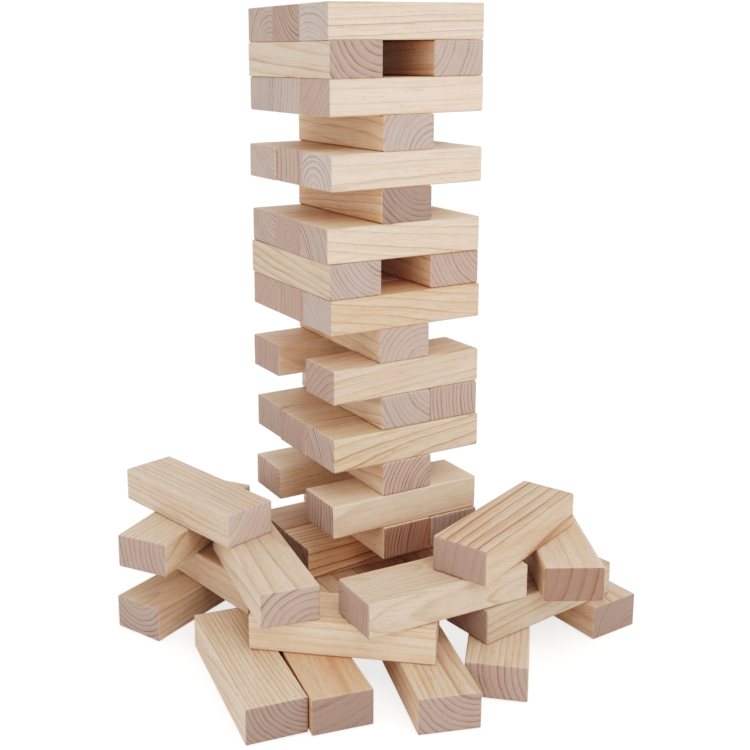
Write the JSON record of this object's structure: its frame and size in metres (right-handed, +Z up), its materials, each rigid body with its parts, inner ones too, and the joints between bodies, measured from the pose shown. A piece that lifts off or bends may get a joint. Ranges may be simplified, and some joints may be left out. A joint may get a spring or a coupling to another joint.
{
  "type": "giant tumbling tower",
  "caption": "Garden stacking game of identical pine blocks: a square tower of crossed rows standing part way through a round, with the drawn blocks heaped at its foot.",
  "frame": {"origin": "centre of the tower's bottom row on the ground, which is the middle of the underside of the bottom middle block", "axes": "+Z up the tower, +X along the rows that lie across (even rows, counted from the ground), +Y along the rows that lie front to back, away from the heap of drawn blocks"},
  "size_m": [0.5118, 0.454, 0.6857],
  "materials": {
    "pine": "planed and lightly sanded pine, unsealed, with eased edges"
  },
  "bodies": {
    "row_01_left": {"row_01_left": "pine"},
    "row_01_middle": {"row_01_middle": "pine"},
    "row_01_right": {"row_01_right": "pine"},
    "row_02_middle": {"row_02_middle": "pine"},
    "row_02_back": {"row_02_back": "pine"},
    "row_03_middle": {"row_03_middle": "pine"},
    "row_03_right": {"row_03_right": "pine"},
    "row_04_front": {"row_04_front": "pine"},
    "row_04_back": {"row_04_back": "pine"},
    "row_05_middle": {"row_05_middle": "pine"},
    "row_06_front": {"row_06_front": "pine"},
    "row_06_middle": {"row_06_middle": "pine"},
    "row_06_back": {"row_06_back": "pine"},
    "row_07_middle": {"row_07_middle": "pine"},
    "row_07_right": {"row_07_right": "pine"},
    "row_08_front": {"row_08_front": "pine"},
    "row_08_back": {"row_08_back": "pine"},
    "row_09_middle": {"row_09_middle": "pine"},
    "row_10_front": {"row_10_front": "pine"},
    "row_10_middle": {"row_10_middle": "pine"},
    "row_10_back": {"row_10_back": "pine"},
    "row_11_left": {"row_11_left": "pine"},
    "row_11_right": {"row_11_right": "pine"},
    "row_12_front": {"row_12_front": "pine"},
    "row_12_middle": {"row_12_middle": "pine"},
    "row_12_back": {"row_12_back": "pine"},
    "row_13_middle": {"row_13_middle": "pine"},
    "row_14_front": {"row_14_front": "pine"},
    "row_14_middle": {"row_14_middle": "pine"},
    "row_14_back": {"row_14_back": "pine"},
    "row_15_middle": {"row_15_middle": "pine"},
    "row_16_front": {"row_16_front": "pine"},
    "row_16_middle": {"row_16_middle": "pine"},
    "row_16_back": {"row_16_back": "pine"},
    "row_17_left": {"row_17_left": "pine"},
    "row_17_right": {"row_17_right": "pine"},
    "row_18_front": {"row_18_front": "pine"},
    "row_18_middle": {"row_18_middle": "pine"},
    "row_18_back": {"row_18_back": "pine"},
    "loose_left_floor": {"loose_left_floor": "pine"},
    "loose_left_second": {"loose_left_second": "pine"},
    "loose_left_upper": {"loose_left_upper": "pine"},
    "loose_left_span": {"loose_left_span": "pine"},
    "loose_left_top": {"loose_left_top": "pine"},
    "loose_front_floor_left": {"loose_front_floor_left": "pine"},
    "loose_front_floor_middle": {"loose_front_floor_middle": "pine"},
    "loose_front_floor_right": {"loose_front_floor_right": "pine"},
    "loose_front_bridge": {"loose_front_bridge": "pine"},
    "loose_front_upper": {"loose_front_upper": "pine"},
    "loose_right_floor_near": {"loose_right_floor_near": "pine"},
    "loose_right_floor_far": {"loose_right_floor_far": "pine"},
    "loose_right_bridge": {"loose_right_bridge": "pine"},
    "loose_right_upper": {"loose_right_upper": "pine"},
    "loose_right_top": {"loose_right_top": "pine"}
  },
  "joints": [
    {"name": "row_18_front_draw", "type": "slide", "parent": "row_01_middle", "child": "row_18_front", "axis": [0.9999, -0.0105, 0], "range_m": [-0.19, 0.19]},
    {"name": "row_17_left_draw", "type": "slide", "parent": "row_01_middle", "child": "row_17_left", "axis": [0, 1, 0], "range_m": [-0.19, 0.19]},
    {"name": "row_16_back_draw", "type": "slide", "parent": "row_01_middle", "child": "row_16_back", "axis": [1, -0.0052, 0], "range_m": [-0.19, 0.19]},
    {"name": "row_15_middle_draw", "type": "slide", "parent": "row_01_middle", "child": "row_15_middle", "axis": [-0.0052, 1, 0], "range_m": [-0.19, 0.19]},
    {"name": "row_12_front_draw", "type": "slide", "parent": "row_01_middle", "child": "row_12_front", "axis": [0.9997, -0.0244, 0], "range_m": [-0.19, 0.19]},
    {"name": "row_11_right_draw", "type": "slide", "parent": "row_01_middle", "child": "row_11_right", "axis": [0.0035, 1, 0], "range_m": [-0.19, 0.19]},
    {"name": "row_09_middle_draw", "type": "slide", "parent": "row_01_middle", "child": "row_09_middle", "axis": [0.0052, 1, 0], "range_m": [-0.19, 0.19]},
    {"name": "row_07_right_draw", "type": "slide", "parent": "row_01_middle", "child": "row_07_right", "axis": [0, 1, 0], "range_m": [-0.19, 0.19]},
    {"name": "row_06_front_draw", "type": "slide", "parent": "row_01_middle", "child": "row_06_front", "axis": [1, 0.0035, 0], "range_m": [-0.19, 0.19]},
    {"name": "row_04_front_draw", "type": "slide", "parent": "row_01_middle", "child": "row_04_front", "axis": [1, 0, 0], "range_m": [0, 0.19]},
    {"name": "row_02_back_draw", "type": "slide", "parent": "row_01_middle", "child": "row_02_back", "axis": [1, 0.007, 0], "range_m": [0, 0.19]},
    {"name": "row_01_right_draw", "type": "slide", "parent": "row_01_middle", "child": "row_01_right", "axis": [0, 1, 0], "range_m": [0, 0.19]},
    {"name": "loose_left_top_lift", "type": "slide", "parent": "row_01_middle", "child": "loose_left_top", "axis": [0, 0, 1], "range_m": [0, 0.2]},
    {"name": "loose_right_top_lift", "type": "slide", "parent": "row_01_middle", "child": "loose_right_top", "axis": [0, 0, 1], "range_m": [0, 0.2]},
    {"name": "loose_left_span_draw", "type": "slide", "parent": "row_01_middle", "child": "loose_left_span", "axis": [-0.1564, -0.9877, 0], "range_m": [0, 0.19]},
    {"name": "loose_front_upper_draw", "type": "slide", "parent": "row_01_middle", "child": "loose_front_upper", "axis": [-0.0262, -0.9997, 0], "range_m": [0, 0.12]},
    {"name": "loose_front_bridge_draw", "type": "slide", "parent": "row_01_middle", "child": "loose_front_bridge", "axis": [-0.6157, -0.788, 0], "range_m": [0, 0.12]},
    {"name": "loose_right_upper_draw", "type": "slide", "parent": "row_01_middle", "child": "loose_right_upper", "axis": [0.4617, 0.887, 0], "range_m": [0, 0.19]},
    {"name": "loose_left_upper_draw", "type": "slide", "parent": "row_01_middle", "child": "loose_left_upper", "axis": [-0.8141, -0.5807, 0], "range_m": [0, 0.19]},
    {"name": "loose_left_floor_draw", "type": "slide", "parent": "row_01_middle", "child": "loose_left_floor", "axis": [-0.8988, -0.4384, 0], "range_m": [0, 0.19]},
    {"name": "loose_front_floor_left_draw", "type": "slide", "parent": "row_01_middle", "child": "loose_front_floor_left", "axis": [-0.1736, -0.9848, 0], "range_m": [0, 0.19]},
    {"name": "loose_right_floor_far_draw", "type": "slide", "parent": "row_01_middle", "child": "loose_right_floor_far", "axis": [0.0698, -0.9976, 0], "range_m": [0, 0.19]},
    {"name": "loose_right_bridge_draw", "type": "slide", "parent": "row_01_middle", "child": "loose_right_bridge", "axis": [0.9914, 0.1305, 0], "range_m": [0, 0.19]},
    {"name": "row_01_left_draw", "type": "slide", "parent": "row_01_middle", "child": "row_01_left", "axis": [0, 1, 0], "range_m": [0, 0.19]},
    {"name": "row_02_middle_draw", "type": "slide", "parent": "row_01_middle", "child": "row_02_middle", "axis": [1, 0.007, 0], "range_m": [0, 0.19]},
    {"name": "row_03_middle_draw", "type": "slide", "parent": "row_01_middle", "child": "row_03_middle", "axis": [-0.007, 1, 0], "range_m": [0, 0.19]},
    {"name": "row_03_right_draw", "type": "slide", "parent": "row_01_middle", "child": "row_03_right", "axis": [-0.007, 1, 0], "range_m": [0, 0.19]},
    {"name": "row_04_back_draw", "type": "slide", "parent": "row_01_middle", "child": "row_04_back", "axis": [1, 0, 0], "range_m": [0, 0.19]},
    {"name": "row_05_middle_draw", "type": "slide", "parent": "row_01_middle", "child": "row_05_middle", "axis": [-0.0035, 1, 0], "range_m": [0, 0.19]},
    {"name": "row_06_middle_draw", "type": "slide", "parent": "row_01_middle", "child": "row_06_middle", "axis": [1, 0.0035, 0], "range_m": [-0.19, 0.19]},
    {"name": "row_06_back_draw", "type": "slide", "parent": "row_01_middle", "child": "row_06_back", "axis": [1, 0.0035, 0], "range_m": [-0.19, 0.19]},
    {"name": "row_07_middle_draw", "type": "slide", "parent": "row_01_middle", "child": "row_07_middle", "axis": [0, 1, 0], "range_m": [-0.19, 0.19]},
    {"name": "row_08_front_draw", "type": "slide", "parent": "row_01_middle", "child": "row_08_front", "axis": [0.9999, 0.0157, 0], "range_m": [-0.19, 0.19]},
    {"name": "row_08_back_draw", "type": "slide", "parent": "row_01_middle", "child": "row_08_back", "axis": [0.9999, 0.0157, 0], "range_m": [-0.19, 0.19]},
    {"name": "row_10_front_draw", "type": "slide", "parent": "row_01_middle", "child": "row_10_front", "axis": [1, -0.0035, 0], "range_m": [-0.19, 0.19]},
    {"name": "row_10_middle_draw", "type": "slide", "parent": "row_01_middle", "child": "row_10_middle", "axis": [1, -0.0035, 0], "range_m": [-0.19, 0.19]},
    {"name": "row_10_back_draw", "type": "slide", "parent": "row_01_middle", "child": "row_10_back", "axis": [1, -0.0035, 0], "range_m": [-0.19, 0.19]},
    {"name": "row_11_left_draw", "type": "slide", "parent": "row_01_middle", "child": "row_11_left", "axis": [0.0035, 1, 0], "range_m": [-0.19, 0.19]},
    {"name": "row_12_middle_draw", "type": "slide", "parent": "row_01_middle", "child": "row_12_middle", "axis": [0.9997, -0.0244, 0], "range_m": [-0.19, 0.19]},
    {"name": "row_12_back_draw", "type": "slide", "parent": "row_01_middle", "child": "row_12_back", "axis": [0.9997, -0.0244, 0], "range_m": [-0.19, 0.19]},
    {"name": "row_13_middle_draw", "type": "slide", "parent": "row_01_middle", "child": "row_13_middle", "axis": [0, 1, 0], "range_m": [-0.19, 0.19]},
    {"name": "row_14_front_draw", "type": "slide", "parent": "row_01_middle", "child": "row_14_front", "axis": [1, 0.007, 0], "range_m": [-0.19, 0.19]},
    {"name": "row_14_middle_draw", "type": "slide", "parent": "row_01_middle", "child": "row_14_middle", "axis": [1, 0.007, 0], "range_m": [-0.19, 0.19]},
    {"name": "row_14_back_draw", "type": "slide", "parent": "row_01_middle", "child": "row_14_back", "axis": [1, 0.007, 0], "range_m": [-0.19, 0.19]},
    {"name": "row_16_front_draw", "type": "slide", "parent": "row_01_middle", "child": "row_16_front", "axis": [1, -0.0052, 0], "range_m": [-0.19, 0.19]},
    {"name": "row_16_middle_draw", "type": "slide", "parent": "row_01_middle", "child": "row_16_middle", "axis": [1, -0.0052, 0], "range_m": [-0.19, 0.19]},
    {"name": "row_17_right_draw", "type": "slide", "parent": "row_01_middle", "child": "row_17_right", "axis": [0, 1, 0], "range_m": [-0.19, 0.19]},
    {"name": "row_18_middle_draw", "type": "slide", "parent": "row_01_middle", "child": "row_18_middle", "axis": [0.9999, -0.0105, 0], "range_m": [-0.19, 0.19]},
    {"name": "row_18_back_draw", "type": "slide", "parent": "row_01_middle", "child": "row_18_back", "axis": [0.9999, -0.0105, 0], "range_m": [-0.19, 0.19]},
    {"name": "loose_left_second_draw", "type": "slide", "parent": "row_01_middle", "child": "loose_left_second", "axis": [-0.1908, 0.9816, 0], "range_m": [0, 0.19]},
    {"name": "loose_front_floor_middle_draw", "type": "slide", "parent": "row_01_middle", "child": "loose_front_floor_middle", "axis": [-0.1736, -0.9848, 0], "range_m": [0, 0.19]},
    {"name": "loose_front_floor_right_draw", "type": "slide", "parent": "row_01_middle", "child": "loose_front_floor_right", "axis": [-0.2924, -0.9563, 0], "range_m": [0, 0.19]},
    {"name": "loose_right_floor_near_draw", "type": "slide", "parent": "row_01_middle", "child": "loose_right_floor_near", "axis": [0, -1, 0], "range_m": [0, 0.19]}
  ]
}
